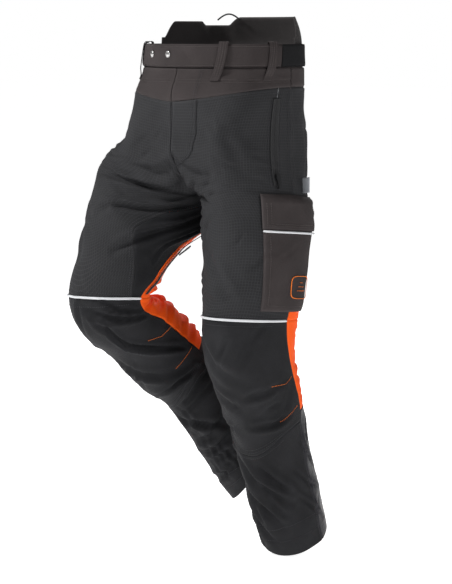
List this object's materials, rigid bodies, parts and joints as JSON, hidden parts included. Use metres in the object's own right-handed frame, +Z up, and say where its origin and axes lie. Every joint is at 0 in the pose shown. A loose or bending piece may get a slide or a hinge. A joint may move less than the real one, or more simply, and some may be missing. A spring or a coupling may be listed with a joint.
{
  "type": "forestry protective trousers",
  "caption": "Full-length cut-protection trousers in a walking stance, with belt, raised back, zipped pockets, cargo pocket and hinged hip and knee sections.",
  "frame": {"origin": "centre of the waist opening, level with the top edge of the waistband", "axes": "+Z up along the standing wearer, -Y to the wearer's front, +X to the wearer's left"},
  "size_m": [0.4658, 0.4468, 1.0671],
  "materials": {
    "ripstop_charcoal": "ripstop weave",
    "stretch_black": "smooth stretch weave",
    "canvas_brown": "plain canvas weave",
    "stretch_orange": "high-visibility stretch",
    "reflective_piping": "retroreflective",
    "webbing_black": "woven webbing",
    "guard_coated": "glossy coated fabric",
    "snap_silver": "bright",
    "zip_black": "moulded",
    "label_grey": "plain",
    "patch_orange": "matt",
    "protection_fibre": "knitted fibre layers",
    "lining_grey": "mesh"
  },
  "bodies": {
    "pelvis": {"belt_snap_1": "snap_silver", "belt_snap_2": "snap_silver", "belt_strap": "canvas_brown", "elastic_left": "webbing_black", "elastic_right": "webbing_black", "fly_placket": "ripstop_charcoal", "fly_zip": "zip_black", "hanger_loop": "webbing_black", "kidney_flap": "canvas_brown", "loop_front_left": "canvas_brown", "loop_front_right": "canvas_brown", "loop_side_left": "canvas_brown", "loop_side_right": "webbing_black", "seat_left": "ripstop_charcoal", "seat_right": "ripstop_charcoal", "side_label": "label_grey", "trunk_lining": "lining_grey", "waistband": "canvas_brown", "yoke_front_left": "canvas_brown", "yoke_front_right": "canvas_brown", "yoke_rear": "canvas_brown"},
    "thigh_left": {"cargo_bag": "canvas_brown", "cargo_patch": "patch_orange", "front_thigh_left": "ripstop_charcoal", "inner_thigh_left": "stretch_black", "knee_piping_left": "reflective_piping", "pocket_zip_left": "zip_black", "rear_thigh_left": "stretch_orange", "thigh_lining_left": "lining_grey", "thigh_pad_left": "protection_fibre", "vent_zip_left": "zip_black"},
    "thigh_right": {"front_thigh_right": "ripstop_charcoal", "inner_thigh_right": "stretch_black", "knee_piping_right": "reflective_piping", "pocket_zip_right": "zip_black", "rear_thigh_right": "stretch_orange", "thigh_lining_right": "lining_grey", "thigh_pad_right": "protection_fibre", "vent_zip_right": "zip_black"},
    "shin_left": {"calf_guard_left": "guard_coated", "knee_panel_left": "stretch_black", "rear_calf_left": "stretch_black", "rear_knee_left": "stretch_orange", "shin_lining_left": "lining_grey", "shin_pad_left": "protection_fibre", "shin_panel_left": "stretch_black"},
    "shin_right": {"calf_guard_right": "guard_coated", "knee_panel_right": "stretch_black", "rear_calf_right": "stretch_black", "rear_knee_right": "stretch_orange", "shin_lining_right": "lining_grey", "shin_pad_right": "protection_fibre", "shin_panel_right": "stretch_black"},
    "cargo_flap": {"cargo_flap": "canvas_brown", "cargo_flap_piping": "reflective_piping"},
    "pocket_slider_left": {"pocket_slider_left": "zip_black"},
    "pocket_slider_right": {"pocket_slider_right": "zip_black"},
    "vent_slider_left": {"vent_slider_left": "zip_black"},
    "vent_slider_right": {"vent_slider_right": "zip_black"},
    "fly_slider": {"fly_slider": "snap_silver"}
  },
  "joints": [
    {"name": "hip_left", "type": "hinge", "parent": "pelvis", "child": "thigh_left", "pos_m": [0.0905, 0, -0.13], "axis": [-1, 0, 0], "range_deg": [-10, 20], "deforming": ["front_thigh_left", "inner_thigh_left", "rear_thigh_left", "thigh_pad_left", "pocket_zip_left", "vent_zip_left"]},
    {"name": "knee_left", "type": "hinge", "parent": "thigh_left", "child": "shin_left", "pos_m": [0.10849, -0.04808, -0.58734], "axis": [1, 0, 0.0087], "range_deg": [-18, 35], "deforming": ["knee_panel_left", "rear_knee_left", "shin_pad_left"]},
    {"name": "hip_right", "type": "hinge", "parent": "pelvis", "child": "thigh_right", "pos_m": [-0.0905, 0, -0.13], "axis": [-1, 0, 0], "range_deg": [-20, 10], "deforming": ["front_thigh_right", "inner_thigh_right", "rear_thigh_right", "thigh_pad_right", "pocket_zip_right", "vent_zip_right"]},
    {"name": "knee_right", "type": "hinge", "parent": "thigh_right", "child": "shin_right", "pos_m": [-0.15067, -0.15907, -0.51428], "axis": [0.9322, -0.3597, 0.0393], "range_deg": [-40, 14], "deforming": ["knee_panel_right", "rear_knee_right", "shin_pad_right"]},
    {"name": "cargo_flap_lift", "type": "hinge", "parent": "thigh_left", "child": "cargo_flap", "pos_m": [0.19456, -0.0413, -0.2862], "axis": [-0.1216, -0.9892, 0.0824], "range_deg": [0, 95], "deforming": ["cargo_flap", "cargo_flap_piping"]},
    {"name": "pocket_zip_run_left", "type": "slide", "parent": "thigh_left", "child": "pocket_slider_left", "axis": [-0.1892, 0.0661, 0.9797], "range_m": [0, 0.07], "deforming": ["pocket_zip_left"]},
    {"name": "vent_zip_run_left", "type": "slide", "parent": "thigh_left", "child": "vent_slider_left", "axis": [0.0338, -0.2656, -0.9635], "range_m": [0, 0.09], "deforming": ["vent_zip_left"]},
    {"name": "pocket_zip_run_right", "type": "slide", "parent": "thigh_right", "child": "pocket_slider_right", "axis": [0.4032, 0.23, 0.8857], "range_m": [0, 0.07], "deforming": ["pocket_zip_right"]},
    {"name": "vent_zip_run_right", "type": "slide", "parent": "thigh_right", "child": "vent_slider_right", "axis": [-0.2013, -0.8435, -0.4979], "range_m": [0, 0.09], "deforming": ["vent_zip_right"]},
    {"name": "fly_zip_run", "type": "slide", "parent": "pelvis", "child": "fly_slider", "axis": [0, -0.1644, -0.9864], "range_m": [0, 0.075]}
  ]
}
